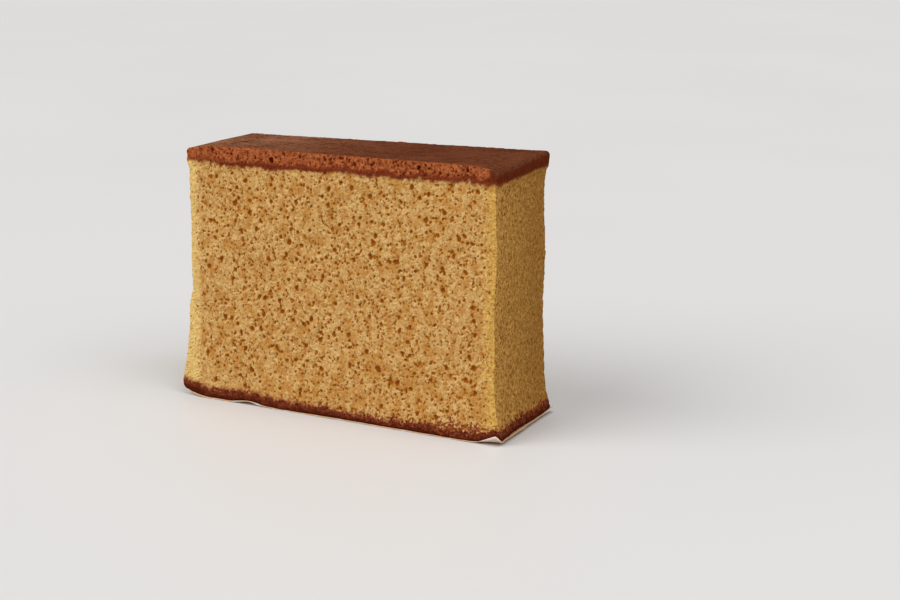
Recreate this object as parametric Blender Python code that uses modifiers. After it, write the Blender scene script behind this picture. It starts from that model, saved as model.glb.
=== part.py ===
"""A slice of castella sponge cake, standing on the baking paper it was baked and cut on.

Metres, +Z up. X runs along the slice, the wide cut faces look along -Y and +Y, and the
origin is on the table under the middle of the slice.
"""

import math
import random

import bmesh
import bpy
from mathutils import Euler, Matrix, Vector

MM = 0.001

# Slice: half widths are measured from the middle to each end, at the narrow waist
LEFT_WAIST = 40.8 * MM
RIGHT_WAIST = 42.6 * MM
RIGHT_END_SKEW = 0.8 * MM
LEFT_SPREAD = 2.4 * MM
LEFT_SPREAD_HEIGHT = 7 * MM
LEFT_BULGE = 1.45 * MM
LEFT_BULGE_TOP = 29 * MM
LEFT_BULGE_RISE = 7 * MM
RIGHT_SPREAD = 2.3 * MM
RIGHT_SPREAD_HEIGHT = 7 * MM
WAIST_DEPTH = 28.3 * MM
BASE_DEPTH = 29.9 * MM
DEPTH_SPREAD_HEIGHT = 14 * MM
TOP_SPREAD = 0.5 * MM
TOP_SPREAD_HEIGHT = 6 * MM

# Top: higher at the right end, lower at the back, most so at the left, and drooping at both front corners
HEIGHT = 64.3 * MM
TOP_SLOPE = 0.9 / 66
TOP_BACK_DROP = 0.75 * MM
TOP_TWIST = 0.9 / 84
END_DROOP = 1.0 * MM
END_DROOP_LENGTH = 9 * MM

# Rounded edges
LEFT_TOP_RADIUS = 0.8 * MM
LEFT_BASE_RADIUS = 2.2 * MM
RIGHT_TOP_RADIUS = 1.3 * MM
RIGHT_BASE_RADIUS = 0.8 * MM
TOP_FACE_RADIUS = 0.6 * MM
BASE_FACE_RADIUS = 0.3 * MM

# Browned top, which stands a little proud of the crumb below it
TOP_CRUST = 3.6 * MM
END_CRUST_LIP = 0.4 * MM
FACE_CRUST_LIP = 0.2 * MM
LIP_RISE = 1.2 * MM

# Uneven cut faces: two crossing waves, full on a face and dying away inside it
CUT_WAVE = 0.22 * MM
CUT_WAVE_LENGTH = 24 * MM
CUT_WAVE_SLANT = 0.6
CUT_WAVE_FALL = 8

# Baking paper and the slice's fit on it
PAPER_THICKNESS = 0.25 * MM
PAPER_GAP = 0.3 * MM
PAPER_MARGIN = 0.6 * MM
PAPER_RIM = 0.4 * MM
PAPER_STEP = 2.4 * MM

# Where the slice and its paper rise off the table
LEFT_LIFT = 1.6 * MM
LEFT_LIFT_LENGTH = 9 * MM
RIGHT_LIFT = 0.9 * MM
RIGHT_LIFT_LENGTH = 8 * MM
RIPPLE_LIFT = 0.7 * MM
RIPPLE_PLACE = -24.5 * MM
RIPPLE_HALF_LENGTH = 6.5 * MM
RIPPLE_REACH = 6 * MM

# Two torn corners of the paper, bent up against the slice
TAB_PEAK = 0.78
TAB_END = 0.3
FRONT_TAB_LENGTH = 6.4 * MM
FRONT_TAB_REACH = 1.9 * MM
FRONT_TAB_ANGLE = math.radians(66)
BACK_TAB_LENGTH = 5.4 * MM
BACK_TAB_REACH = 0.9 * MM
BACK_TAB_ANGLE = math.radians(35)

# Lattice that carries the slice's form. Rows on a rounded edge are parts of its radius in
LATTICE_STEP = 4.4 * MM
ROUNDED_ROWS = (0.12, 0.4, 1)

# Bubbles that the knife opened
PORE_SEED = 11
FACE_PORES = 84
END_PORES = 26
PORE_RADIUS = (0.55 * MM, 0.95 * MM)
PORE_TALLNESS = 1.25
PORE_SPACING = 3.4 * MM
PORE_EDGE_GAP = 2.6 * MM
PORE_SINK = 0.15

CRUMB_COLOUR = (0.56, 0.34, 0.105, 1)
PAPER_COLOUR = (0.78, 0.70, 0.58, 1)


def clear_scene():
    for thing in list(bpy.data.objects):
        bpy.data.objects.remove(thing, do_unlink=True)


def smooth_step(amount):
    """0 below 0, 1 above 1, and an S-shaped rise between."""
    held = min(max(amount, 0.0), 1.0)
    return held * held * (3 - 2 * held)


def principled(name, colour, roughness):
    material = bpy.data.materials.new(name)
    material.use_nodes = True
    shader = material.node_tree.nodes["Principled BSDF"]
    shader.inputs["Base Color"].default_value = colour
    shader.inputs["Roughness"].default_value = roughness
    shader.inputs["Metallic"].default_value = 0.0
    return material


def corner_inset(height, base_radius, top_radius):
    """How far a side stands in from its face where it rounds into the base and the top."""
    inset = 0.0
    for to_edge, radius in ((height, base_radius), (HEIGHT - height, top_radius)):
        if to_edge < radius:
            inset += radius - math.sqrt(radius**2 - (radius - max(to_edge, 0.0)) ** 2)
    return inset


def lip(height, amount):
    """The step from the crumb out to the browned top."""
    start = HEIGHT - TOP_CRUST - LIP_RISE
    return amount * smooth_step((height - start) / LIP_RISE)


def half_width(side, across, height):
    """From the middle to the end face. side is -1 or 1, and across runs from -1 to 1."""
    if side < 0:
        bulge = LEFT_BULGE * smooth_step((LEFT_BULGE_TOP - height) / LEFT_BULGE_RISE)
        waist, spread, spread_height = LEFT_WAIST + bulge, LEFT_SPREAD, LEFT_SPREAD_HEIGHT
        base_radius, top_radius = LEFT_BASE_RADIUS, LEFT_TOP_RADIUS
    else:
        waist, spread, spread_height = RIGHT_WAIST, RIGHT_SPREAD, RIGHT_SPREAD_HEIGHT
        waist -= RIGHT_END_SKEW * (1 + across) / 2
        base_radius, top_radius = RIGHT_BASE_RADIUS, RIGHT_TOP_RADIUS
    reach = waist + spread * math.exp(-height / spread_height)
    reach += TOP_SPREAD * math.exp((height - HEIGHT) / TOP_SPREAD_HEIGHT)
    reach += lip(height, END_CRUST_LIP)
    return reach - corner_inset(height, base_radius, top_radius)


def base_reach(side, across):
    """The half width where it is greatest, just above the rounded edge of the base."""
    return half_width(side, across, LEFT_BASE_RADIUS if side < 0 else RIGHT_BASE_RADIUS)


def half_depth(height):
    """From the middle to either wide face."""
    spread = (BASE_DEPTH - WAIST_DEPTH) / 2 * math.exp(-height / DEPTH_SPREAD_HEIGHT)
    reach = WAIST_DEPTH / 2 + spread + lip(height, FACE_CRUST_LIP)
    return reach - corner_inset(height, BASE_FACE_RADIUS, TOP_FACE_RADIUS)


def lift(x, y):
    """How far the paper has risen off the table: at both ends, and in one ripple in front."""
    to_left = (x + base_reach(-1, 0)) / LEFT_LIFT_LENGTH
    left = LEFT_LIFT * min(max(1 - to_left, 0.0), 1.0) ** 2
    right_edge = base_reach(1, 0)
    right = RIGHT_LIFT * smooth_step((x - right_edge + RIGHT_LIFT_LENGTH) / RIGHT_LIFT_LENGTH)
    along = (x - RIPPLE_PLACE) / RIPPLE_HALF_LENGTH
    from_front = (y + BASE_DEPTH / 2) / RIPPLE_REACH
    ripple = RIPPLE_LIFT * smooth_step(1 - abs(along)) * smooth_step(1 - from_front)
    return left + right + ripple


def underside(x, y):
    return PAPER_THICKNESS + PAPER_GAP + lift(x, y)


def top_height(x, y):
    """The browned top: a slope, a drop to the back that shrinks rightwards, and ends that droop in front."""
    to_end = min(x + LEFT_WAIST, RIGHT_WAIST - x)
    front = 0.5 - y / WAIST_DEPTH
    droop = front * END_DROOP * max(0.0, 1 - to_end / END_DROOP_LENGTH) ** 2
    drop = (1 - front) * (TOP_BACK_DROP - TOP_TWIST * x)
    return HEIGHT + TOP_SLOPE * x - droop - drop


def cut_wave(x, y, z):
    """How far the knife wandered: the mean of two sine waves that cross on the face."""
    turn = math.tau / CUT_WAVE_LENGTH
    rising = math.sin(turn * (x + y + CUT_WAVE_SLANT * z))
    falling = math.sin(turn * (z + y - CUT_WAVE_SLANT * x))
    return CUT_WAVE * (rising + falling) / 2


def on_slice(along, across, height):
    """The slice's point for lattice places along and across, from -1 to 1, and a height."""
    side = -1 if along < 0 else 1
    x = along * half_width(side, across, height)
    y = across * half_depth(height)
    low = underside(x, y)
    z = low + height / HEIGHT * (top_height(x, y) - low)
    wave = cut_wave(x, y, z)
    return Vector((x + wave * along**CUT_WAVE_FALL, y + wave * across**CUT_WAVE_FALL, z))


def cut_places(low, high, step):
    """Evenly spaced places between low and high, without the two ends."""
    count = max(1, round((high - low) / step))
    return [low + (high - low) * n / count for n in range(1, count)]


def slice_at(bm, axis, places):
    """Adds a loop of edges where the mesh crosses each plane."""
    normal = Vector((0, 0, 0))
    normal[axis] = 1
    for place in places:
        bmesh.ops.bisect_plane(
            bm,
            geom=bm.verts[:] + bm.edges[:] + bm.faces[:],
            plane_co=normal * place,
            plane_no=normal,
        )


def slice_heights():
    """Heights of the lattice rows: close together at the rounded edges and at the lip."""
    lip_top = HEIGHT - TOP_CRUST
    lip_bottom = lip_top - LIP_RISE
    low = [LEFT_BASE_RADIUS * part for part in ROUNDED_ROWS]
    high = [HEIGHT - RIGHT_TOP_RADIUS * part for part in ROUNDED_ROWS]
    return low + cut_places(low[-1], lip_bottom, LATTICE_STEP) + [lip_bottom, lip_top] + high


def make_block(collection, material):
    """The slice without its pores: a block on a lattice, moved to on_slice()."""
    bm = bmesh.new()
    bmesh.ops.create_cube(bm, size=2)
    bmesh.ops.scale(bm, vec=(1, 1, HEIGHT / 2), verts=bm.verts)
    bmesh.ops.translate(bm, vec=(0, 0, HEIGHT / 2), verts=bm.verts)
    slice_at(bm, 0, cut_places(-1, 1, LATTICE_STEP / LEFT_WAIST))
    slice_at(bm, 1, cut_places(-1, 1, LATTICE_STEP / (WAIST_DEPTH / 2)))
    slice_at(bm, 2, slice_heights())
    for vertex in bm.verts:
        vertex.co = on_slice(*vertex.co)
    bmesh.ops.recalc_face_normals(bm, faces=bm.faces)
    return add_object("castella", bm, collection, material)


def add_object(name, bm, collection, material=None):
    mesh = bpy.data.meshes.new(name)
    bm.to_mesh(mesh)
    bm.free()
    thing = bpy.data.objects.new(name, mesh)
    collection.objects.link(thing)
    if material:
        mesh.materials.append(material)
    return thing


def keep_if_clear(kept, point):
    if all((point - other).length > PORE_SPACING for other in kept):
        kept.append(point)


def pore_places(draw):
    """(place, outward direction) of each pore, spread over the two faces and two ends."""
    face_limit = 1 - PORE_EDGE_GAP / LEFT_WAIST
    end_limit = 1 - PORE_EDGE_GAP / (WAIST_DEPTH / 2)
    places = []
    for side in (-1, 1):
        kept = []
        while len(kept) < FACE_PORES:
            height = draw.uniform(PORE_EDGE_GAP, HEIGHT - PORE_EDGE_GAP)
            keep_if_clear(kept, on_slice(draw.uniform(-face_limit, face_limit), side, height))
        places += [(point, Vector((0, side, 0))) for point in kept]
        kept = []
        while len(kept) < END_PORES:
            height = draw.uniform(PORE_EDGE_GAP, HEIGHT - PORE_EDGE_GAP)
            keep_if_clear(kept, on_slice(side, draw.uniform(-end_limit, end_limit), height))
        places += [(point, Vector((side, 0, 0))) for point in kept]
    return places


def make_pore_cutters(collection):
    """One mesh of small, tall balls, each sunk into the surface where it opens."""
    draw = random.Random(PORE_SEED)
    bm = bmesh.new()
    for point, outward in pore_places(draw):
        radius = draw.uniform(*PORE_RADIUS)
        stretch = Matrix.Diagonal((1, 1, draw.uniform(1, PORE_TALLNESS), 1))
        turn = Euler([draw.uniform(0, math.tau) for _ in range(3)]).to_matrix().to_4x4()
        centre = point - outward * radius * PORE_SINK
        bmesh.ops.create_icosphere(
            bm,
            subdivisions=1,
            radius=radius,
            matrix=Matrix.Translation(centre) @ stretch @ turn,
        )
    cutter = add_object("pore_cutters", bm, collection)
    cutter.hide_render = True
    cutter.display_type = "WIRE"
    return cutter


def open_pores(block, cutter):
    cut = block.modifiers.new("open pores", "BOOLEAN")
    cut.operation = "DIFFERENCE"
    cut.object = cutter


def torn_corner(place, length, reach, angle):
    """(distance out, height) of the paper's rim where a torn corner is bent up.

    Over its length the corner rises to its peak and drops to its end, and place runs
    from its start.
    """
    along = place / length
    if not 0 < along <= 1:
        return 0.0, 0.0
    drop = (1 - TAB_END) * (along - TAB_PEAK) / (1 - TAB_PEAK)
    held = reach * min(along / TAB_PEAK, 1 - drop)
    return held * math.cos(angle), held * math.sin(angle)


def paper_reach(side, across):
    """(half width, half depth) of the paper's outline."""
    wide = base_reach(side, across) + PAPER_MARGIN
    return wide, half_depth(BASE_FACE_RADIUS) + PAPER_MARGIN


def on_paper(along, across):
    """The paper's underside at lattice places along and across, from -1 to 1."""
    side = -1 if along < 0 else 1
    wide, deep = paper_reach(side, across)
    x, y = along * wide, across * deep
    point = Vector((x, y, lift(x, y)))
    if across == -1 and side > 0:
        place = x - wide + FRONT_TAB_LENGTH
        out, up = torn_corner(place, FRONT_TAB_LENGTH, FRONT_TAB_REACH, FRONT_TAB_ANGLE)
        point += Vector((0, -out, up))
    elif along == 1:
        place = y - deep + BACK_TAB_LENGTH
        out, up = torn_corner(place, BACK_TAB_LENGTH, BACK_TAB_REACH, BACK_TAB_ANGLE)
        point += Vector((out, 0, up))
    return point


def paper_columns():
    """Places along the paper: close together at both lifts, the ripple and the front tab."""
    left, _ = paper_reach(-1, -1)
    right, _ = paper_reach(1, -1)
    rim, lift_end = PAPER_RIM - left, LEFT_LIFT_LENGTH - left
    lifted_left = [rim] + cut_places(rim, lift_end, PAPER_STEP) + [lift_end]
    ripple_start = RIPPLE_PLACE - RIPPLE_HALF_LENGTH
    ripple_end = RIPPLE_PLACE + RIPPLE_HALF_LENGTH
    ripple = [ripple_start] + cut_places(ripple_start, ripple_end, PAPER_STEP) + [ripple_end]
    tab_start = right - FRONT_TAB_LENGTH
    tab_peak = tab_start + TAB_PEAK * FRONT_TAB_LENGTH
    lifted = [right - RIGHT_LIFT_LENGTH - PAPER_MARGIN, tab_start]
    lifted += cut_places(tab_start, tab_peak, PAPER_STEP) + [tab_peak, right - PAPER_RIM]
    return [x / left for x in lifted_left + ripple] + [x / right for x in lifted]


def paper_rows():
    """Places across the paper: close together at the front and back rims."""
    _, deep = paper_reach(1, 0)
    tab_start = deep - BACK_TAB_LENGTH
    tab_peak = tab_start + TAB_PEAK * BACK_TAB_LENGTH
    front = [PAPER_RIM - deep] + cut_places(PAPER_RIM - deep, RIPPLE_REACH - deep, PAPER_STEP)
    return [y / deep for y in front + [RIPPLE_REACH - deep, tab_start, tab_peak, deep - PAPER_RIM]]


def make_paper(collection, material):
    """The baking paper: a flat sheet on a lattice, moved to on_paper() and thickened."""
    bm = bmesh.new()
    bmesh.ops.create_grid(bm, x_segments=1, y_segments=1, size=1)
    slice_at(bm, 0, paper_columns())
    slice_at(bm, 1, paper_rows())
    for vertex in bm.verts:
        vertex.co = on_paper(vertex.co.x, vertex.co.y)
    paper = add_object("base_paper", bm, collection, material)
    thicken = paper.modifiers.new("thickness", "SOLIDIFY")
    thicken.thickness = PAPER_THICKNESS
    thicken.offset = 1
    return paper


def stand_on_origin(parts, others):
    """Moves all so that the box round the parts has its bottom centre at the origin."""
    bpy.context.view_layer.update()
    graph = bpy.context.evaluated_depsgraph_get()
    corners = [Vector(corner) for part in parts for corner in part.evaluated_get(graph).bound_box]
    low = Vector(min(corner[axis] for corner in corners) for axis in range(3))
    high = Vector(max(corner[axis] for corner in corners) for axis in range(3))
    for thing in parts + others:
        thing.location = (-(low.x + high.x) / 2, -(low.y + high.y) / 2, -low.z)


def new_collection(name):
    made = bpy.data.collections.new(name)
    bpy.context.scene.collection.children.link(made)
    return made


def main():
    clear_scene()
    parts = new_collection("castella_slice")
    helpers = new_collection("cutters")
    block = make_block(parts, principled("crumb", CRUMB_COLOUR, 0.85))
    paper = make_paper(parts, principled("baking_paper", PAPER_COLOUR, 0.6))
    cutter = make_pore_cutters(helpers)
    open_pores(block, cutter)
    stand_on_origin([block, paper], [cutter])


main()
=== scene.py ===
"""A slice of castella sponge cake on its baking paper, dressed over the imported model.

Metres, +Z up. The slice's width runs along X, its front cut face looks along -Y, and it
stands on the floor at the origin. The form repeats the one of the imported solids, and the
open crumb, the browned crusts and the crumpled paper are worked out on top of it.
"""

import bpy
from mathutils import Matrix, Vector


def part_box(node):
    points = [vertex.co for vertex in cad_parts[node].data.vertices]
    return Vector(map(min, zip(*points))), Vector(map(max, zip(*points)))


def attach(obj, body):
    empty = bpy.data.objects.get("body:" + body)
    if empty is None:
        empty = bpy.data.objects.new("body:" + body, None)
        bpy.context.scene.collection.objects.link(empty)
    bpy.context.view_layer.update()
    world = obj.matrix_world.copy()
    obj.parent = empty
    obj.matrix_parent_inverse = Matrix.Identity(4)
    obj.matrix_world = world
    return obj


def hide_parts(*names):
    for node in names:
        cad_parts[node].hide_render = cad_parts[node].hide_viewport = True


bl_info = {
    "name": "Castella slice",
    "version": (1, 0, 0),
    "blender": (4, 5, 0),
    "location": "3D View > Sidebar > Castella",
    "description": "Builds a slice of castella with open crumb, browned crusts and baking paper",
    "category": "Add Mesh",
}

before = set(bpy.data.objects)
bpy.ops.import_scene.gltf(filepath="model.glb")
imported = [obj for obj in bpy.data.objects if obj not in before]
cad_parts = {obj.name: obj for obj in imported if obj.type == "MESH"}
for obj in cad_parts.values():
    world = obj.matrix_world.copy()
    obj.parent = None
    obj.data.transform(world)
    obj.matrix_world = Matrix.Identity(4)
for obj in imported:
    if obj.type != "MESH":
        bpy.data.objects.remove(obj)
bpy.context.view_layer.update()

import itertools
import math
from types import SimpleNamespace

import bpy
import numpy as np
from bpy.props import FloatProperty, FloatVectorProperty, IntProperty, PointerProperty

MM = 0.001

# Slice: half widths are measured from the middle to each end, at the narrow waist
LEFT_WAIST = 40.8 * MM
RIGHT_WAIST = 42.6 * MM
RIGHT_END_SKEW = 0.8 * MM
LEFT_SPREAD = 2.4 * MM
LEFT_SPREAD_HEIGHT = 7 * MM
LEFT_BULGE = 1.45 * MM
LEFT_BULGE_TOP = 29 * MM
LEFT_BULGE_RISE = 7 * MM
RIGHT_SPREAD = 2.3 * MM
RIGHT_SPREAD_HEIGHT = 7 * MM
WAIST_DEPTH = 28.3 * MM
BASE_DEPTH = 29.9 * MM
DEPTH_SPREAD_HEIGHT = 14 * MM
TOP_SPREAD = 0.5 * MM
TOP_SPREAD_HEIGHT = 6 * MM

# Top: it rises to the right, drops to the back, most so at the left, and droops at both front corners
HEIGHT = 64.3 * MM
TOP_SLOPE = 0.9 / 66
TOP_BACK_DROP = 0.75 * MM
TOP_TWIST = 0.9 / 84
END_DROOP = 1.0 * MM
END_DROOP_LENGTH = 9 * MM

# Rounded edges
LEFT_TOP_RADIUS = 0.8 * MM
LEFT_BASE_RADIUS = 2.2 * MM
RIGHT_TOP_RADIUS = 1.3 * MM
RIGHT_BASE_RADIUS = 0.8 * MM
TOP_FACE_RADIUS = 0.35 * MM
BASE_FACE_RADIUS = 0.3 * MM
UPRIGHT_RADIUS = 0.25 * MM
MID_ARC = 1 - math.sqrt(0.5)

# Browned top, which stands a little proud of the crumb below it
TOP_CRUST = 3.6 * MM
END_CRUST_LIP = 0.4 * MM
FACE_CRUST_LIP = 0.2 * MM
LIP_RISE = 1.2 * MM
LIP_BOTTOM = HEIGHT - TOP_CRUST - LIP_RISE
END_SKIN = 2.7 * MM
END_SKIN_GROWTH = 0.9 * MM

# Uneven cut faces: two crossing waves, full on a face and dying away inside it
CUT_WAVE = 0.22 * MM
CUT_WAVE_LENGTH = 24 * MM
CUT_WAVE_SLANT = 0.6
CUT_WAVE_FALL = 8

# Baking paper, and where the slice and its paper rise off the table
PAPER_MARGIN = 0.6 * MM
LEFT_LIFT = 1.6 * MM
LEFT_LIFT_LENGTH = 9 * MM
RIGHT_LIFT = 0.9 * MM
RIGHT_LIFT_LENGTH = 8 * MM
RIPPLE_LIFT = 0.7 * MM
RIPPLE_PLACE = -24.5 * MM
RIPPLE_HALF_LENGTH = 6.5 * MM
RIPPLE_REACH = 6 * MM

# Two torn corners of the paper, bent up against the slice
TAB_PEAK = 0.78
TAB_END = 0.3
FRONT_TAB_LENGTH = 6.4 * MM
FRONT_TAB_REACH = 1.9 * MM
FRONT_TAB_ANGLE = math.radians(66)
BACK_TAB_LENGTH = 5.4 * MM
BACK_TAB_REACH = 0.9 * MM
BACK_TAB_ANGLE = math.radians(35)

# The paper's rim: its inset, and (feature size, strength, seed) of the noises that make it uneven
RIM_WIDTH = 1.2 * MM
RIM_INSET = 0.2 * MM
RIM_RAGGED = ((1.7 * MM, 0.06 * MM, 71), (5 * MM, 0.1 * MM, 72))
RIM_RISE = 0.1 * MM
RIM_RISE_NOISE = ((3 * MM, 1, 73),)
BEND_WIDTH = 0.9 * MM
FRONT_BARE_REACH = 0.5 * MM
BACK_BARE_REACH = 0.3 * MM
ROUNDED_CORNER = 3 * MM
ROUNDED_INSET = 0.9 * MM

# Where bubbles stay finer: near both ends, in the line under the browned top, and at the base
FINE_END = 3.5 * MM
FINE_LINE_START = 2.8 * MM
FINE_LINE_START_FADE = 0.5 * MM
FINE_LINE_END = 4.6 * MM
FINE_LINE_END_FADE = 0.6 * MM
FINE_LINE_SHRINK = 0.5
FINE_BASE = 3 * MM
FINE_BASE_SCALE = 0.55

# Bubbles: the smallest radii, the seeds, and the noises that shift the places looked up
SMALLEST_FINE_PORE = 0.14 * MM
SMALLEST_LARGE_PORE = 0.25 * MM
FINE_SEED = 11
LARGE_SEED = 21
SHIFTS = ((0.8 * MM, 0.26 * MM, 40), (0.42 * MM, 0.1 * MM, 50))

# Raised grain of the crumb and dimples of the skin, both set back from the smooth form
GRAIN = ((0.55 * MM, 1, 61), (1.1 * MM, 0.8, 62))
GRAIN_HEIGHT = 0.13 * MM
GRAIN_BACK = 0.8
DIMPLES = ((2.6 * MM, 1, 63), (0.9 * MM, 0.5, 64))
DIMPLE_HEIGHT = 0.025 * MM
DIMPLE_BACK = 1.5

# Edge of the skin: down both ends, in from the top's edges, and round the right end's corners
SKIN_NOISE = ((1.4 * MM, 1, 81),)
SKIN_RAGGED = 0.3 * MM
SKIN_FADE = 1.1 * MM
SKIN_RIM_NOISE = ((1.2 * MM, 0.3 * MM, 82),)
SKIN_RIM_FADE = 0.9 * MM
SKIN_CORNER = 3.1 * MM
SKIN_CORNER_RAGGED = 0.9 * MM
SKIN_CORNER_FADE = 1.6 * MM

# Underside: its rings as shares of its rim, and how far from an end its points count, in millimetres
RING_SHARES = (1, 0.985, 0.95, 0.88, 0.76, 0.6, 0.4, 0.2, 0.05)
FAR_FROM_END = 10.0


# Form of the slice

def smooth_step(amount):
    """0 below 0, 1 above 1, and an S-shaped rise between."""
    held = np.clip(amount, 0.0, 1.0)
    return held * held * (3 - 2 * held)


def corner_inset(to_edge, radius):
    """A quarter circle: how far a side stands in where it is nearer to its edge than the radius."""
    inside = np.clip(radius - to_edge, 0.0, radius)
    return radius - np.sqrt(np.maximum(radius**2 - inside**2, 0.0))


def lip(height, amount):
    """The smooth step from the crumb out to the browned top."""
    return amount * smooth_step((height - LIP_BOTTOM) / LIP_RISE)


def full_width(side, across, height):
    """From the middle to the end face, before its edges are rounded.

    Each end has a waist and spreads towards the base, and the left one bulges in its lower part.
    """
    bulge = LEFT_BULGE * smooth_step((LEFT_BULGE_TOP - height) / LEFT_BULGE_RISE)
    left = LEFT_WAIST + bulge + LEFT_SPREAD * np.exp(-height / LEFT_SPREAD_HEIGHT)
    right = RIGHT_WAIST + RIGHT_SPREAD * np.exp(-height / RIGHT_SPREAD_HEIGHT)
    right = right - RIGHT_END_SKEW * (1 + across) / 2
    top = TOP_SPREAD * np.exp((height - HEIGHT) / TOP_SPREAD_HEIGHT)
    return np.where(side < 0, left, right) + top + lip(height, END_CRUST_LIP)


def half_width(side, across, height):
    """From the middle to the end face. side is -1 or 1, and across runs from -1 to 1."""
    left = corner_inset(height, LEFT_BASE_RADIUS)
    base = np.where(side < 0, left, corner_inset(height, RIGHT_BASE_RADIUS))
    return full_width(side, across, height) - base - top_inset(side, HEIGHT - height)


def top_inset(side, below_top):
    """How far an end stands in where it rounds over into the top."""
    left = corner_inset(below_top, LEFT_TOP_RADIUS)
    return np.where(side < 0, left, corner_inset(below_top, RIGHT_TOP_RADIUS))


def full_depth(height):
    """From the middle to either cut face, before its edges are rounded."""
    spread = (BASE_DEPTH - WAIST_DEPTH) / 2 * np.exp(-height / DEPTH_SPREAD_HEIGHT)
    return WAIST_DEPTH / 2 + spread + lip(height, FACE_CRUST_LIP)


def half_depth(height):
    """From the middle to either cut face."""
    rounded = corner_inset(height, BASE_FACE_RADIUS) + corner_inset(HEIGHT - height, TOP_FACE_RADIUS)
    return full_depth(height) - rounded


def base_reach(side, across):
    """The half width where it is greatest, just above the rounded edge of the base."""
    radius = np.where(side < 0, LEFT_BASE_RADIUS, RIGHT_BASE_RADIUS)
    return half_width(side, across, radius)


def lift(x, y):
    """How far the paper has risen off the table: at both ends, and in one ripple in front."""
    to_left = (x + base_reach(-1, 0)) / LEFT_LIFT_LENGTH
    left = LEFT_LIFT * np.clip(1 - to_left, 0, 1) ** 2
    right_edge = base_reach(1, 0)
    right = RIGHT_LIFT * smooth_step((x - right_edge + RIGHT_LIFT_LENGTH) / RIGHT_LIFT_LENGTH)
    along = (x - RIPPLE_PLACE) / RIPPLE_HALF_LENGTH
    from_front = (y + BASE_DEPTH / 2) / RIPPLE_REACH
    return left + right + RIPPLE_LIFT * smooth_step(1 - np.abs(along)) * smooth_step(1 - from_front)


def underside(x, y):
    """The slice's lower face, which lies on the sheet of paper."""
    return paper_settings().thickness + lift(x, y)


def top_height(x, y):
    """The browned top: a slope, a drop to the back that shrinks rightwards, and a droop in front.

    The droop grows with the square of the nearness to either end.
    """
    to_end = np.minimum(x + LEFT_WAIST, RIGHT_WAIST - x)
    front = 0.5 - y / WAIST_DEPTH
    droop = front * END_DROOP * np.maximum(0.0, 1 - to_end / END_DROOP_LENGTH) ** 2
    drop = (1 - front) * (TOP_BACK_DROP - TOP_TWIST * x)
    return HEIGHT + TOP_SLOPE * x - droop - drop


def cut_wave(x, y, z):
    """How far the knife wandered: the mean of two sine waves that cross on the face."""
    turn = math.tau / CUT_WAVE_LENGTH
    rising = np.sin(turn * (x + y + CUT_WAVE_SLANT * z))
    falling = np.sin(turn * (z + y - CUT_WAVE_SLANT * x))
    return CUT_WAVE * (rising + falling) / 2


def placed(x, y, height, along, across):
    """Points over the plan places x, y: a height between underside and top, and the knife's wave."""
    low = underside(x, y)
    z = low + height / HEIGHT * (top_height(x, y) - low)
    wave = cut_wave(x, y, z)
    return np.stack([x + wave * along**CUT_WAVE_FALL, y + wave * across**CUT_WAVE_FALL, z], axis=-1)


def upright_turn(to_edge):
    """Sine and cosine of how far a face has turned where it rounds into the next."""
    sine = np.clip(1 - to_edge / UPRIGHT_RADIUS, 0.0, 1.0)
    return sine, np.sqrt(1 - sine**2)


def edge_turn(below_top, radius):
    """Sine and cosine of how far a face has tilted up where it rounds into the top."""
    sine = np.clip(1 - below_top / radius, 0.0, 1.0)
    return sine, np.sqrt(1 - sine**2)


def cut_face(face, along, height):
    """Points and outward directions of a cut face. face is -1 in front and 1 at the back.

    The face is a plane at the half depth, rounded in at both upright edges and at the top.
    """
    side = np.sign(along)
    reach = half_width(side, face, height)
    x = along * (reach - MID_ARC * UPRIGHT_RADIUS)
    to_edge = reach - np.abs(x)
    y = face * (half_depth(height) - corner_inset(to_edge, UPRIGHT_RADIUS))
    turn, ahead = upright_turn(to_edge)
    tilt, level = edge_turn(HEIGHT - height, TOP_FACE_RADIUS)
    outward = np.stack([side * turn * level, face * ahead * level, tilt], axis=-1)
    return placed(x, y, height, along, face), outward


def end_face(side, across, height):
    """Points and outward directions of an end. side is -1 at the left and 1 at the right.

    The end is a plane at the half width, rounded in at both upright edges and over the top.
    """
    deep = half_depth(height)
    y = across * (deep - MID_ARC * UPRIGHT_RADIUS)
    to_edge = deep - np.abs(y)
    x = side * (half_width(side, across, height) - corner_inset(to_edge, UPRIGHT_RADIUS))
    turn, ahead = upright_turn(to_edge)
    radius = LEFT_TOP_RADIUS if side < 0 else RIGHT_TOP_RADIUS
    tilt, level = edge_turn(HEIGHT - height, radius)
    outward = np.stack([side * ahead * level, np.sign(across) * turn * level, tilt], axis=-1)
    return placed(x, y, height, side, across), outward


def top_face(along, across):
    """Points and outward directions of the top, a sheet that rounds down at all four edges."""
    side = np.sign(along)
    below = MID_ARC * TOP_FACE_RADIUS
    deep = half_depth(HEIGHT - below)
    y_reach = deep - MID_ARC * UPRIGHT_RADIUS
    end_inset = corner_inset(deep - np.abs(across) * y_reach, UPRIGHT_RADIUS)
    wide = half_width(side, across, HEIGHT - below)
    x = along * (wide - end_inset)
    y = across * (deep - corner_inset(wide - np.abs(x), UPRIGHT_RADIUS))
    to_end = full_width(side, across, HEIGHT) - np.abs(x)
    to_cut = full_depth(HEIGHT) - np.abs(y)
    drop = np.maximum(top_inset(side, to_end), corner_inset(to_cut, TOP_FACE_RADIUS))
    outward = np.zeros(drop.shape + (3,))
    outward[..., 2] = 1
    return placed(x, y, HEIGHT - drop, along, across), outward


# Bubbles and noise, drawn from whole-number cells, so that they're the same in each run

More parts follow.
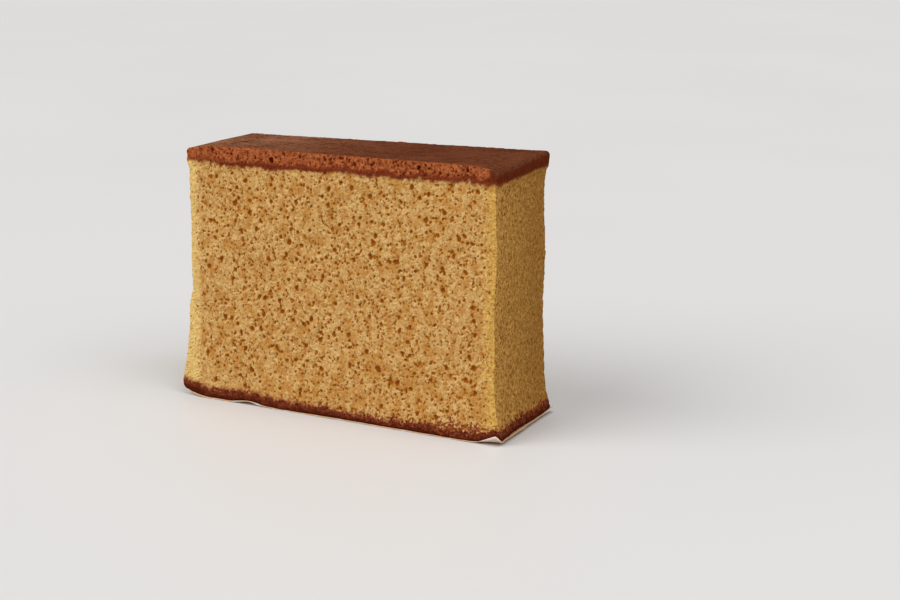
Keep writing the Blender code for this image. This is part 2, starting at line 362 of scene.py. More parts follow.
def drawn(cells, seed):
    """A number from 0 to 1 for each whole-number cell: its three numbers mixed by an integer hash."""
    x, y, z = (cells[..., axis].astype(np.uint32) for axis in range(3))
    mixed = x * np.uint32(0x8DA6B343) ^ y * np.uint32(0xD8163841) ^ z * np.uint32(0xCB1AB31F)
    mixed ^= np.uint32((seed * 0x9E3779B9) & 0xFFFFFFFF)
    for shift, factor in ((16, 0x7FEB352D), (15, 0x846CA68B)):
        mixed = (mixed ^ (mixed >> np.uint32(shift))) * np.uint32(factor)
    return (mixed ^ (mixed >> np.uint32(16))) / 2.0**32


def soft_noise(points, size, seed):
    """Smooth noise from -1 to 1: drawn numbers at the corners of cells of that size, eased between."""
    scaled = points / size
    home = np.floor(scaled).astype(np.int64)
    part = smooth_step(scaled - home)
    total = np.zeros(points.shape[:-1])
    for corner in itertools.product((0, 1), repeat=3):
        weight = np.prod(np.where(np.array(corner), part, 1 - part), axis=-1)
        total += weight * drawn(home + np.array(corner), seed)
    return 2 * total - 1


def layered(points, layers):
    """The sum of soft noises, each of them given as its feature size, its strength and its seed."""
    return sum(strength * soft_noise(points, size, seed) for size, strength, seed in layers)


def pore_scale(centre):
    """How large bubbles grow at a place, as a share of their drawn radius.

    The share rises in an S from both ends and from the base, and dips in the line under the
    browned top.
    """
    to_end = np.minimum(centre[..., 0] + LEFT_WAIST, RIGHT_WAIST - centre[..., 0])
    settings = crumb_settings()
    ends = settings.end_fineness + (1 - settings.end_fineness) * smooth_step(to_end / FINE_END)
    below = HEIGHT - centre[..., 2]
    line = smooth_step((below - FINE_LINE_START) / FINE_LINE_START_FADE)
    line = line * smooth_step((FINE_LINE_END - below) / FINE_LINE_END_FADE)
    base = FINE_BASE_SCALE + (1 - FINE_BASE_SCALE) * smooth_step(centre[..., 2] / FINE_BASE)
    return ends * (1 - FINE_LINE_SHRINK * line) * base


def bubble_depth(points, cell, smallest, largest, seed):
    """How deep each point lies in the deepest bubble round it: the radius times 1 - (distance / radius)^2.

    Each cubic cell holds one bubble, a ball stretched upwards, at a drawn place and of a drawn
    radius.
    """
    stretch = np.array([1, 1, crumb_settings().pore_tallness])
    home = np.floor(points / cell).astype(np.int64)
    deepest = np.zeros(points.shape[:-1])
    for step in itertools.product((-1, 0, 1), repeat=3):
        near = home + np.array(step)
        place = np.stack([drawn(near, seed + axis) for axis in range(3)], axis=-1)
        centre = (near + place) * cell
        radius = smallest + (largest - smallest) * drawn(near, seed + 3) ** 2
        radius = radius * pore_scale(centre)
        squared = np.sum(((points - centre) / stretch) ** 2, axis=-1)
        deepest = np.maximum(deepest, radius - squared / radius)
    return deepest


def crumbled(points, outward, skin):
    """Moves the smooth form's points into opened bubbles, and gives the depth as a share of the most.

    Where skin is 1 nothing opens, and only soft dimples show. Two noises shift the places at
    which bubbles are looked up along each axis, so that no bubble is a plain ball.
    """
    settings = crumb_settings()
    shifts = [[(size, reach, seed + axis) for size, reach, seed in SHIFTS] for axis in range(3)]
    looked_up = points + np.stack([layered(points, layers) for layers in shifts], axis=-1)
    fine = bubble_depth(
        looked_up, settings.fine_cell, SMALLEST_FINE_PORE, settings.fine_pore, FINE_SEED)
    large = bubble_depth(
        looked_up, settings.large_cell, SMALLEST_LARGE_PORE, settings.large_pore, LARGE_SEED)
    open_share = 1 - skin
    pores = np.minimum(np.maximum(fine, large), settings.pore_depth) * open_share
    grain = GRAIN_HEIGHT * (layered(points, GRAIN) - GRAIN_BACK)
    dimple = DIMPLE_HEIGHT * (layered(points, DIMPLES) - DIMPLE_BACK)
    relief = grain * open_share + dimple * skin
    moved = points + outward * (relief - pores)[..., None]
    return moved, pores / settings.pore_depth


# Meshes

def row_shift():
    """From the form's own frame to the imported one: the paper's high corner is at a known place in both."""
    _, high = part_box("base_paper")
    x = high.x - (float(base_reach(1, -1)) + PAPER_MARGIN)
    deep = float(full_depth(BASE_FACE_RADIUS)) + PAPER_MARGIN
    return np.array([x, high.y - deep, 0.0])


def grid_quads(rows, columns):
    """Corner numbers of the quads of a grid of points that is stored row by row."""
    corner = np.arange(rows * columns).reshape(rows, columns)
    around = [corner[:-1, :-1], corner[:-1, 1:], corner[1:, 1:], corner[1:, :-1]]
    return np.stack(around, axis=-1).reshape(-1, 4)


def rim_of(rows, columns):
    """Numbers of a grid's border points, in the order in which its quads run round it."""
    corner = np.arange(rows * columns).reshape(rows, columns)
    return np.concatenate([corner[0, :-1], corner[:-1, -1], corner[-1, :0:-1], corner[:0:-1, 0]])


def add_piece(name, points, faces, hidden_faces, material, measures):
    """Puts arrays into a mesh object.

    Faces are smooth, hidden ones flat, and measures are its points' attributes.
    """
    mesh = bpy.data.meshes.new(name)
    corners = np.concatenate([faces.ravel(), hidden_faces.ravel()]).astype(np.int32)
    sizes = np.concatenate([np.full(len(faces), faces.shape[1]), np.full(len(hidden_faces), 3)])
    starts = np.concatenate([[0], np.cumsum(sizes)[:-1]]).astype(np.int32)
    mesh.vertices.add(len(points))
    mesh.vertices.foreach_set("co", (points + row_shift()).astype(np.float32).ravel())
    mesh.loops.add(len(corners))
    mesh.loops.foreach_set("vertex_index", corners)
    mesh.polygons.add(len(sizes))
    mesh.polygons.foreach_set("loop_start", starts)
    flat = mesh.attributes.new("sharp_face", "BOOLEAN", "FACE")
    flat.data.foreach_set("value", np.arange(len(sizes)) >= len(faces))
    for key, values in measures.items():
        layer = mesh.attributes.new(key, "FLOAT", "POINT")
        layer.data.foreach_set("value", values.astype(np.float32).ravel())
    mesh.update(calc_edges=True)
    mesh.materials.append(material)
    piece = bpy.data.objects.new(name, mesh)
    bpy.context.scene.collection.objects.link(piece)
    return piece


def add_sponge(name, points, outward, height, skin):
    """One outer face of the slice, with its pores, closed by a hidden fan to the slice's middle."""
    moved, pore = crumbled(points, outward, skin)
    rows, columns = height.shape
    to_end = np.minimum(points[..., 0] + LEFT_WAIST, RIGHT_WAIST - points[..., 0])
    measures = {
        "pore": pore,
        "skin": skin,
        "below_top": (HEIGHT - height) / MM,
        "above_base": height / MM,
        "from_end": np.maximum(to_end, 0) / MM,
        "sideways": outward[..., 0],
    }
    measures = {key: np.append(values.ravel(), 0) for key, values in measures.items()}
    rim = rim_of(rows, columns)
    middle = np.full(len(rim), rows * columns)
    fan = np.stack([np.roll(rim, -1), rim, middle], axis=-1)
    everything = np.vstack([moved.reshape(-1, 3), [0, 0, HEIGHT / 2]])
    piece = add_piece(name, everything, grid_quads(rows, columns), fan, sponge_finish(), measures)
    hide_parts("castella")
    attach(piece, "root")


def lattice_counts():
    """Numbers of cells along the slice, across it, up to the lip and from there to the top."""
    step = crumb_settings().lattice_step
    along = round((LEFT_WAIST + RIGHT_WAIST) / step)
    across = round(WAIST_DEPTH / step)
    return along, across, round(LIP_BOTTOM / step), round((HEIGHT - LIP_BOTTOM) / step)


def wall_heights():
    """Row heights of the cut faces, and the number of the first row of the skin that runs down the ends."""
    _, _, low, high = lattice_counts()
    below_lip = np.linspace(0, LIP_BOTTOM, low + 1)
    top = HEIGHT - MID_ARC * TOP_FACE_RADIUS
    heights = np.concatenate([below_lip, np.linspace(LIP_BOTTOM, top, high + 1)[1:]])
    return heights, int(np.searchsorted(heights, HEIGHT - END_SKIN))


def cut_grid(face):
    """A whole cut face as arrays of points, directions and heights, with columns from left to right."""
    along_cells, _, _, _ = lattice_counts()
    heights, _ = wall_heights()
    along, height = np.meshgrid(np.linspace(-1, 1, along_cells + 1), heights)
    points, outward = cut_face(face, along, height)
    return points, outward, height


def skin_share(points, height, inward):
    """1 where the skin lies and 0 elsewhere.

    It fades out where inward, the distance in from the top's edge, falls to nothing, and at a
    ragged line down both ends. At the right it has also run round the edge onto the cut faces.
    """
    ragged = layered(points, SKIN_NOISE)
    length = END_SKIN + END_SKIN_GROWTH * (points[..., 1] / WAIST_DEPTH + 0.5)
    down = smooth_step(0.5 + (height - HEIGHT + length + SKIN_RAGGED * ragged) / SKIN_FADE)
    over = smooth_step((inward + layered(points, SKIN_RIM_NOISE)) / SKIN_RIM_FADE)
    past_corner = SKIN_CORNER - RIGHT_WAIST + points[..., 0] + SKIN_CORNER_RAGGED * ragged
    return down * np.maximum(over, smooth_step(past_corner / SKIN_CORNER_FADE))


def end_grid(side, heights):
    """Rows of an end face as arrays, with columns from front to back, both borders from the cut faces."""
    _, across_cells, _, _ = lattice_counts()
    across, height = np.meshgrid(np.linspace(-1, 1, across_cells + 1), heights)
    points, outward = end_face(side, across, height)
    for column, face in ((0, -1), (-1, 1)):
        points[:, column], outward[:, column] = cut_face(face, np.full(len(heights), float(side)), heights)
    return points, outward, height


def top_grid():
    """The browned top as one sheet: up the left end's skin, over the top and down the right end's.

    Rows run from front to back. Skin is 1 on the sheet and fades out at its four borders.
    """
    along_cells, across_cells, _, _ = lattice_counts()
    heights, skin_row = wall_heights()
    crust_heights = heights[skin_row:]
    places = np.linspace(-1, 1, along_cells + 1)
    along, across = np.meshgrid(places, np.linspace(-1, 1, across_cells + 1))
    points, outward = top_face(along, across)
    height = np.full(along.shape, HEIGHT)
    for row, face in ((0, -1), (-1, 1)):
        points[row], outward[row] = cut_face(face, places, np.full(len(places), crust_heights[-1]))
        height[row] = crust_heights[-1]
    left = [array.swapaxes(0, 1) for array in end_grid(-1, crust_heights)]
    right = [array[::-1].swapaxes(0, 1) for array in end_grid(1, crust_heights)]
    middle = [points[:, 1:-1], outward[:, 1:-1], height[:, 1:-1]]
    points, outward, height = (np.concatenate(parts, axis=1) for parts in zip(left, middle, right))
    skin = skin_share(points, height, full_depth(HEIGHT) - np.abs(points[..., 1]))
    return points, outward, height, skin


def underside_rings():
    """The slice's lower rim, then rings that shrink towards its middle, as rows of plan places."""
    places = [cut_grid(-1)[0][0, :-1], end_grid(1, np.zeros(1))[0][0, :-1]]
    places += [cut_grid(1)[0][0, :0:-1], end_grid(-1, np.zeros(1))[0][0, :0:-1]]
    rim = np.concatenate(places)
    rings = rim * np.array(RING_SHARES)[:, None, None]
    rings[..., 2] = underside(rings[..., 0], rings[..., 1])
    rings[0] = rim
    return rings


# Shader expressions

class Term:
    """A socket of a finish's nodes, on which Python's operators add Math nodes."""

    def __init__(self, finish, socket):
        self.finish = finish
        self.socket = socket

    def math(self, operation, *values):
        inputs = dict(enumerate(values))
        return self.finish.node("ShaderNodeMath", {"operation": operation}, inputs)

    def __add__(self, other):
        return self.math("ADD", self, other)

    __radd__ = __add__

    def __sub__(self, other):
        return self.math("SUBTRACT", self, other)

    def __rsub__(self, other):
        return self.math("SUBTRACT", other, self)

    def __mul__(self, other):
        return self.math("MULTIPLY", self, other)

    __rmul__ = __mul__

    def rise(self, low, high):
        """0 below low, 1 above high, and an S-shaped rise between."""
        settings = {"interpolation_type": "SMOOTHSTEP"}
        return self.finish.node("ShaderNodeMapRange", settings, {0: self, 1: low, 2: high})

    def most(self, other):
        return self.math("MAXIMUM", self, other)


class Finish:
    """A material whose nodes all come from node()."""

    def __init__(self, name):
        self.material = bpy.data.materials.new(name)
        self.material.use_nodes = True
        self.shader = self.material.node_tree.nodes["Principled BSDF"]

    def node(self, kind, settings, inputs, output=0):
        """Adds a node, with its settings first, then the values or links of its sockets."""
        made = self.material.node_tree.nodes.new(kind)
        for key, value in settings.items():
            setattr(made, key, value)
        for key, value in inputs.items():
            self.feed(made.inputs[key], value)
        return Term(self, made.outputs[output])

    def feed(self, socket, value):
        if isinstance(value, Term):
            self.material.node_tree.links.new(value.socket, socket)
        else:
            socket.default_value = value

    def wear(self, **sockets):
        """Feeds the shader's own sockets, named with underscores for spaces."""
        for key, value in sockets.items():
            self.feed(self.shader.inputs[key.replace("_", " ")], value)

    def measure(self, name):
        return self.node("ShaderNodeAttribute", {"attribute_name": name}, {}, "Fac")

    def place(self):
        return self.node("ShaderNodeTexCoord", {}, {}, "Object")

    def axis(self, place, number):
        """One of a place's three numbers."""
        return self.node("ShaderNodeSeparateXYZ", {}, {0: place}, number)

    def squeezed(self, place, shares):
        """The place with its three numbers times the shares: a share below 1 draws a pattern out."""
        return self.node("ShaderNodeVectorMath", {"operation": "MULTIPLY"}, {0: place, 1: shares})

    def warped(self, place, size, amount):
        """The place, pushed by soft noise of that size by up to the amount along each axis."""
        inputs = {"Vector": place, "Scale": 1 / size, "Detail": 1.0}
        push = self.node("ShaderNodeTexNoise", {}, inputs, "Color")
        inputs = {0: push, 1: (amount, amount, amount), 2: place}
        return self.node("ShaderNodeVectorMath", {"operation": "MULTIPLY_ADD"}, inputs)

    def noise(self, place, size, detail=2.0):
        """Noise from 0 to 1 whose features are of that size in metres."""
        inputs = {"Vector": place, "Scale": 1 / size, "Detail": detail}
        return self.node("ShaderNodeTexNoise", {}, inputs, "Fac")

    def speckle(self, place, size):
        """The distance to the nearest of points scattered that far apart, as a share of it."""
        inputs = {"Vector": place, "Scale": 1 / size}
        return self.node("ShaderNodeTexVoronoi", {}, inputs, "Distance")

    def mix(self, share, low, high):
        """A colour between two, by a share from 0 to 1."""
        inputs = {0: share, 6: opaque(low), 7: opaque(high)}
        return self.node("ShaderNodeMix", {"data_type": "RGBA"}, inputs, 2)

    def bump(self, height, distance, strength=1.0):
        inputs = {"Height": height, "Distance": distance, "Strength": strength}
        return self.node("ShaderNodeBump", {}, inputs)


def opaque(colour):
    return colour if isinstance(colour, Term) else (*colour[:3], 1)


# Finishes

# Sizes of the sponge's patterns, and how they are drawn out along each axis
FINE_GRAIN = 0.55 * MM
COARSE_GRAIN = 1.1 * MM
PATCH_SIZE = 1.9 * MM
PATCH_SQUEEZE = (1, 1, 0.6)
HOLLOW_SHIFT_SIZE = 0.8 * MM
HOLLOW_SHIFT = 0.7 * MM
HOLLOW_SPACING = 0.95 * MM
HOLLOW_SQUEEZE = (1, 1, 0.75)
SPECK_SPACING = 0.6 * MM
SPECK_SQUEEZE = (1, 1, 0.7)
FLECK_SPACING = 1.3 * MM
FLECK_SQUEEZE = (1, 1, 0.5)
RAGGED_SIZE = 1.5 * MM
WAVY_SIZE = 6 * MM
MOTTLE_SIZE = 1.3 * MM
MOTTLE_SQUEEZE = (0.8, 1, 1)
BLOTCH_SIZE = 7 * MM
BLOTCH_SQUEEZE = (0.7, 1, 1)
SPONGE_RELIEF = 0.28 * MM
SPONGE_RELIEF_STRENGTH = 0.8

# Stretches over which the sponge's look changes, from left to right
MIDDLE = (-20 * MM, 20 * MM)
LINE_DARKENS = (-40 * MM, -26 * MM)
LINE_DEEPENS = (-37 * MM, -32 * MM)
LINE_RISES = (-16 * MM, -4 * MM)
BASE_RISES = (-28 * MM, -10 * MM)
BASE_ROUGHENS = (-5 * MM, 20 * MM)
BASE_FADES = (24 * MM, 31 * MM)
# Painted sheen on the skin, which fades out from the left over this stretch
SKIN_SHEEN_FADES = (-44 * MM, 8 * MM)

# The same from front to back
FRONT_CORNER = (-14 * MM, -9 * MM)
# Painted shade that grows towards the back of the right end
END_SHADE_GROWS = (-13 * MM, 14 * MM)

# The same in millimetres from an end, up from the base or down from the top
END_BAND = (0.4, 2.6)
CUT_FACE_STARTS = (1, 4)
LOWER_PART = (5, 35)
LINE_STARTS = (2.5, 3.3)
CRUMB_STARTS = (3.8, 4.9)
BASE_LIGHTENS = (0.2, 1.6)
BASE_ENDS = (1.7, 2.4)
BASE_FADE_ENDS = (1.8, 3.4)
SKIN_TURNS_DOWN = (0.3, 1.2)

# The stripe along each end: it ends sooner low at the left, and later at the right
STRIPE_ENDS = 0.7
STRIPE_ENDS_SOONER = 0.25
STRIPE_ENDS_LATER = 0.1

# By how many millimetres a noise moves an edge in all
STRIPE_RAGGED = 3.4
CRUST_RAGGED = 2.4
CRUST_WAVY = 2.2
BASE_RAGGED = 2.8
BASE_WAVY = 1.2
BASE_GRAINY = 1.5
BASE_GROWS_GRAINY = 2.5
FADE_GRAINY = 9

# By how many millimetres the browned layers are thinner or thicker, all over or at one place
CRUST_THINNER = 1.0
CRUST_THICKER_ON_CUTS = 0.9
CRUST_THICKER_LEFT = 0.8
BASE_THICKER_LEFT = 0.3
BASE_THICKER_ON_ENDS = 0.4
FADE_THICKER = 1.1

# Stretches of the noises, of the distance to a scattered point, and of the measures from 0 to 1
GRAIN_STEP = (0.4, 0.58)
HOLLOW_STEP = (0.15, 0.5)
PATCH_STEP = (0.46, 0.64)
SPECK_STEP = (0.1, 0.4)
SPECK_THINNING = (0.42, 0.58)
FLECK_STEP = (0.08, 0.24)
PORE_STEP = (0.0, 0.7)
OPENED_STEP = (0, 0.6)
FACES_END = (0.2, 1)
WORN_STEP = (0.38, 0.6)

# Sizes and stretches of the baking paper's patterns
FIBRE_SIZE = 0.7 * MM
FIBRE_STEP = (0.35, 0.65)
FIBRE_RELIEF = 0.05 * MM
FIBRE_RELIEF_STRENGTH = 0.4
STAIN_SIZE = 3 * MM
STAIN_STEP = (0.25, 0.55)
STAIN_GROWS = (37 * MM, 43 * MM)

# Clouding of the floor
CLOUD_SIZE = 200 * MM
CLOUD_STEP = (0.3, 0.7)


def sponge_patterns(finish):
    """The places, the points' measures and the noises that all layers of the sponge's look share."""
    place = finish.place()
    shifted = finish.warped(place, HOLLOW_SHIFT_SIZE, HOLLOW_SHIFT)
    here = SimpleNamespace(
        to_right=finish.axis(place, 0),
        to_back=finish.axis(place, 1),
        pore=finish.measure("pore"),
        skin=finish.measure("skin"),
        below_top=finish.measure("below_top"),
        above_base=finish.measure("above_base"),
        from_end=finish.measure("from_end"),
        sideways=finish.measure("sideways"),
        grain=finish.noise(place, FINE_GRAIN),
        coarse=finish.noise(place, COARSE_GRAIN),
        patch=finish.noise(finish.squeezed(place, PATCH_SQUEEZE), PATCH_SIZE, 3),
        hollow=finish.speckle(finish.squeezed(shifted, HOLLOW_SQUEEZE), HOLLOW_SPACING),
        speck=finish.speckle(finish.squeezed(place, SPECK_SQUEEZE), SPECK_SPACING),
        fleck=finish.speckle(finish.squeezed(place, FLECK_SQUEEZE), FLECK_SPACING),
        ragged=finish.noise(place, RAGGED_SIZE, 4) - 0.5,
        wavy=finish.noise(place, WAVY_SIZE, 1) - 0.5,
        mottle=finish.noise(finish.squeezed(place, MOTTLE_SQUEEZE), MOTTLE_SIZE, 4),
        blotch=finish.noise(finish.squeezed(place, BLOTCH_SQUEEZE), BLOTCH_SIZE, 3),
    )
    # Partly painted shade: tone mixes the grain's own lighter and darker spots with painted shade in small
    # hollows, from 0 in shade to 1 on lit grain
    hollowed = here.hollow.rise(*HOLLOW_STEP)
    here.tone = (here.grain * 0.6 + here.coarse * 0.4).rise(*GRAIN_STEP) * 0.5 + hollowed * 0.5
    at_corner = here.to_back.rise(*FRONT_CORNER)
    here.on_end = here.sideways.rise(*FACES_END) * (0.8 + 0.2 * at_corner)
    here.small = (1 - here.speck.rise(*SPECK_STEP)) * here.coarse.rise(*SPECK_THINNING)
    # Painted shade goes where bubbles open, where small specks lie and, on the ends, where flecks lie
    opened = here.pore.rise(*PORE_STEP).most(here.small * (0.55 + 0.15 * here.on_end))
    here.opened = opened.most((1 - here.fleck.rise(*FLECK_STEP)) * here.on_end * 0.9)
    here.on_front = here.from_end.rise(*CUT_FACE_STARTS)
    return here


def crumb_look(finish, here):
    """Golden grain with painted shade between its grains, in shallow pits and in its pores, yellower near
    both ends, and darker on the right one, with painted shade towards its back.
    """
    crumb = crumb_settings()
    at_right = here.to_right.rise(*MIDDLE)
    lower = 1 - here.above_base.rise(*LOWER_PART)
    sooner = lower * (1 - at_right) * STRIPE_ENDS_SOONER - STRIPE_ENDS_LATER * at_right
    inner = here.from_end * (STRIPE_ENDS + sooner) + here.ragged * STRIPE_RAGGED
    inner = inner.rise(*END_BAND)
    end_light = finish.mix(at_right, crumb.left_end_colour, crumb.right_end_colour)
    # Painted shade: the right end is darkened towards its back
    back_shade = here.to_back.rise(*END_SHADE_GROWS) * 0.45
    right_face = finish.mix(back_shade, crumb.right_face_colour, crumb.right_face_shade)
    end_light = finish.mix(here.on_end, end_light, right_face)
    # Painted shade between the grains near the ends
    end_shade = finish.mix(at_right * 0.6 + 0.2, end_light, crumb.pit_shade_colour)
    end_shade = finish.mix(here.on_end, end_shade, crumb.right_face_shade)
    light = finish.mix(inner, end_light, crumb.colour)
    shade = finish.mix(inner, end_shade, crumb.shade_colour)
    colour = finish.mix(here.tone, shade, light)
    # Painted shade: soft browner patches stand for the shade in shallow pits, with a little more of it
    # towards the base
    patches = (here.patch + lower * 0.045).rise(*PATCH_STEP) * (0.1 + 0.5 * inner)
    colour = finish.mix(patches, colour, crumb.pit_shade_colour)
    # Painted shade in the pores, from that of shallow pits to that of deep bubbles
    pore_shade = finish.mix(here.opened, crumb.pit_shade_colour, crumb.pore_shade_colour)
    pore_shade = finish.mix(here.on_end * 0.5, pore_shade, crumb.right_face_shade)
    return finish.mix(here.opened.rise(*OPENED_STEP), colour, pore_shade)


def crust_look(finish, here, below):
    """The browned crumb of the top over the look below, with a darker and uneven line under it."""
    crust = crust_settings()
    line_deep = here.to_right.rise(*LINE_DEEPENS) * (1 - here.to_right.rise(*LINE_RISES))
    depth = here.below_top + here.ragged * CRUST_RAGGED + here.wavy * CRUST_WAVY + CRUST_THINNER
    depth = depth - here.on_front * CRUST_THICKER_ON_CUTS - line_deep * CRUST_THICKER_LEFT
    colour = finish.mix(here.tone, crust.shade_colour, crust.colour)
    # Painted shade in the crust's pores
    colour = finish.mix(here.opened, colour, crust.pore_shade_colour)
    line = depth.rise(*LINE_STARTS) * (0.35 + 0.57 * here.to_right.rise(*LINE_DARKENS))
    colour = finish.mix(line, colour, crust.line_colour)
    return finish.mix(depth.rise(*CRUMB_STARTS), colour, below)


def base_look(finish, here, above):
    """The dark base under the look above, which at the lower right fades into it grain by grain."""
    crust = crust_settings()
    low_right = here.to_right.rise(*BASE_FADES) * here.on_front
    low_left = 1 - here.to_right.rise(*BASE_RISES)
    height = here.above_base + here.ragged * BASE_RAGGED + here.wavy * BASE_WAVY
    height = height - BASE_THICKER_LEFT * low_left - BASE_THICKER_ON_ENDS * (1 - here.on_front)
    grainy = BASE_GRAINY + BASE_GROWS_GRAINY * here.to_right.rise(*BASE_ROUGHENS)
    height = height + (here.grain - 0.5) * grainy
    colour = finish.mix(here.tone * height.rise(*BASE_LIGHTENS), crust.base_shade, crust.base_colour)
    fade_colour = finish.mix(here.tone * 0.45, crust.base_colour, crust.colour)
    fade_height = height - FADE_THICKER * low_right + (here.coarse - 0.5) * FADE_GRAINY * low_right
    above = finish.mix(fade_height.rise(*BASE_FADE_ENDS), fade_colour, above)
    return finish.mix(height.rise(*BASE_ENDS), colour, above)


def skin_look(finish, here, below):
    """The baked skin over the look below, with a painted sheen that makes it paler at the left, and redder
    down both ends.
    """
    crust = crust_settings()
    # Painted sheen: the skin is painted paler towards the left end, where a soft reflection lies on it
    pale = here.to_right.rise(*SKIN_SHEEN_FADES)
    pale = finish.mix(pale, crust.skin_sheen_colour, crust.skin_colour)
    worn = (here.mottle * 0.3 + here.blotch * 0.3 + here.grain * 0.4).rise(*WORN_STEP)
    colour = finish.mix(worn, crust.skin_shade, pale)
    at_end = finish.mix(here.tone, crust.base_shade, crust.skin_end_colour)
    colour = finish.mix(here.below_top.rise(*SKIN_TURNS_DOWN), colour, at_end)
    return finish.mix(here.skin, below, colour)


def sponge_finish():
    """Golden crumb with painted shade in its pores, the browned skin and crust above and the dark base
    below.
    """
    found = bpy.data.materials.get("castella_sponge")
    if found:
        return found
    finish = Finish("castella_sponge")
    here = sponge_patterns(finish)
    colour = crumb_look(finish, here)
    colour = crust_look(finish, here, colour)
    colour = base_look(finish, here, colour)
    colour = skin_look(finish, here, colour)
    height = here.tone * (1 - here.skin * 0.8) - here.small * 0.8 * (1 - here.skin)
    finish.wear(
        Base_Color=colour,
        Roughness=0.95 - here.skin * 0.35 + (here.mottle - 0.5) * here.skin * 0.15,
        Normal=finish.bump(height, SPONGE_RELIEF, SPONGE_RELIEF_STRENGTH),
        Specular_IOR_Level=0.0,
    )
    return finish.material


def paper_finish():
    """Baking paper: pale, faintly mottled, with brown stains where the slice has touched it."""
    paper = paper_settings()
    finish = Finish("baking_paper")
    place = finish.place()
    fibre = finish.noise(place, FIBRE_SIZE, 4)
    stain = finish.noise(place, STAIN_SIZE, 3)
    bare = finish.measure("bare")
    colour = finish.mix(fibre.rise(*FIBRE_STEP), paper.shade_colour, paper.colour)
    at_right = finish.axis(place, 0).rise(*STAIN_GROWS)
    stained = (stain + 0.2 * at_right).rise(*STAIN_STEP) * (1 - bare)
    colour = finish.mix(stained * 0.85, colour, paper.stain_colour)
    colour = finish.mix(bare * 0.8, colour, paper.bare_colour)
    finish.wear(
        Base_Color=colour,
        Roughness=0.55,
        Normal=finish.bump(fibre, FIBRE_RELIEF, FIBRE_RELIEF_STRENGTH),
        Specular_IOR_Level=0.3,
    )
    return finish.material


def floor_finish():
    """A plain pale floor with a very faint unevenness."""
    stage = stage_settings()
    finish = Finish("floor")
    cloud = finish.noise(finish.place(), CLOUD_SIZE)
    colour = finish.mix(cloud.rise(*CLOUD_STEP), stage.floor_shade, stage.floor_colour)
    finish.wear(Base_Color=colour, Roughness=0.5)
    return finish.material


# Baking paper

def torn_corner(place, length, reach, angle):
    """(distance out, height) of the paper's rim where a torn corner is bent up.

    Over its length the corner rises to its peak and drops to its end, and place runs from
    its start.
    """
    along = place / length
    drop = (1 - TAB_END) * (along - TAB_PEAK) / (1 - TAB_PEAK)
    held = reach * np.clip(np.minimum(along / TAB_PEAK, 1 - drop), 0, None)
    held = np.where(along > 1, reach * TAB_END, held)
    return held * math.cos(angle), held * math.sin(angle)


def paper_points(columns, rows):
    """The sheet on a grid: its outline follows the slice's base, lifted and bent up at two corners.

    Both bends rise in an S over the last stretch before the rim, which is ragged, and the front
    left corner is rounded.
    """
    along, across = np.meshgrid(np.linspace(-1, 1, columns), np.linspace(-1, 1, rows))
    side = np.where(along < 0, -1, 1)
    wide = base_reach(side, across) + PAPER_MARGIN
    deep = float(full_depth(BASE_FACE_RADIUS)) + PAPER_MARGIN
    x = along * wide
    y = across * deep
    plan = np.stack([x, y, np.zeros_like(x)], axis=-1)
    inset = RIM_INSET + layered(plan, RIM_RAGGED)
    rim_x = smooth_step(1 - (wide - np.abs(x)) / RIM_WIDTH)
    rim_y = smooth_step(1 - (deep - np.abs(y)) / RIM_WIDTH)
    risen = RIM_RISE * (1 + layered(plan, RIM_RISE_NOISE)) * np.maximum(rim_x, rim_y)
    z = lift(x, y) + risen
    front = smooth_step(1 - (y + deep) / BEND_WIDTH) * (side > 0)
    from_start = x - wide + FRONT_TAB_LENGTH
    out, up = torn_corner(from_start, FRONT_TAB_LENGTH, FRONT_TAB_REACH, FRONT_TAB_ANGLE)
    front_bare = front * smooth_step(out / FRONT_BARE_REACH)
    y = y - front * out - rim_y * inset * np.sign(across)
    z = z + front * up
    right = smooth_step(1 - (wide - x) / BEND_WIDTH) * (1 - front)
    from_start = y - deep + BACK_TAB_LENGTH
    out, up = torn_corner(from_start, BACK_TAB_LENGTH, BACK_TAB_REACH, BACK_TAB_ANGLE)
    right_bare = right * smooth_step(out / BACK_BARE_REACH)
    x = x + right * out - rim_x * inset * np.sign(along)
    z = z + right * up
    corner = smooth_step(1 - (x + wide) / ROUNDED_CORNER) * smooth_step(1 - (y + deep) / ROUNDED_CORNER)
    x = x + ROUNDED_INSET * corner
    y = y + ROUNDED_INSET * corner
    return np.stack([x, y, z], axis=-1), np.maximum(front_bare, right_bare)


# Settings

